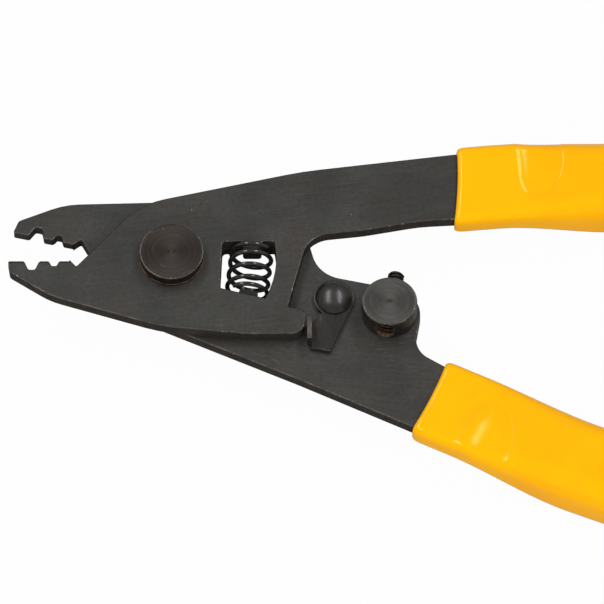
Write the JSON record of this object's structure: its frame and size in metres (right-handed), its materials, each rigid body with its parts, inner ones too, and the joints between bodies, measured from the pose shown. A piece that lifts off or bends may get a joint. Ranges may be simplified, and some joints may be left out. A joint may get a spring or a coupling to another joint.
{
  "type": "fibre stripper",
  "caption": "Hand tool with crossed steel plates, notched stripping jaws, return spring, lock latch, stop screw and vinyl grips.",
  "frame": {"origin": "on the pivot axis, at the flat rear end of the pivot stud", "axes": "+X towards the handles (jaws towards -X), +Z along the pivot axis from the rear plate to the stud's head, +Y towards the upper handle"},
  "size_m": [0.174, 0.0907, 0.0126],
  "materials": {
    "blackened_steel": "satin black oxide",
    "turned_steel": "satin black oxide over turning marks",
    "spring_wire": "gloss black",
    "washer_bronze": "satin",
    "yellow_vinyl": "gloss"
  },
  "bodies": {
    "rear_arm": {"rear_plate": "blackened_steel", "pivot_stud": "turned_steel", "pivot_washer": "washer_bronze", "rear_washer": "turned_steel", "return_spring": "spring_wire", "latch_rivet": "turned_steel", "stop_post": "turned_steel", "lower_grip": "yellow_vinyl"},
    "front_arm": {"front_plate": "blackened_steel", "upper_grip": "yellow_vinyl"},
    "latch": {"lock_latch": "blackened_steel"},
    "screw": {"stop_screw": "spring_wire"}
  },
  "joints": [
    {"name": "jaw_pivot", "type": "hinge", "parent": "rear_arm", "child": "front_arm", "pos_m": [0, 0, 0], "axis": [0, 0, 1], "range_deg": [-14, 0], "stiffness_Nm_per_rad": 0.25, "springref_deg": 17.19, "deforming": ["return_spring"]},
    {"name": "latch_swing", "type": "hinge", "parent": "rear_arm", "child": "latch", "pos_m": [0.028, -0.00715, 0], "axis": [0, 0, 1], "range_deg": [0, 36]},
    {"name": "screw_travel", "type": "slide", "parent": "rear_arm", "child": "screw", "axis": [0.1891, 0.982, 0], "range_m": [-0.002, 0]}
  ]
}
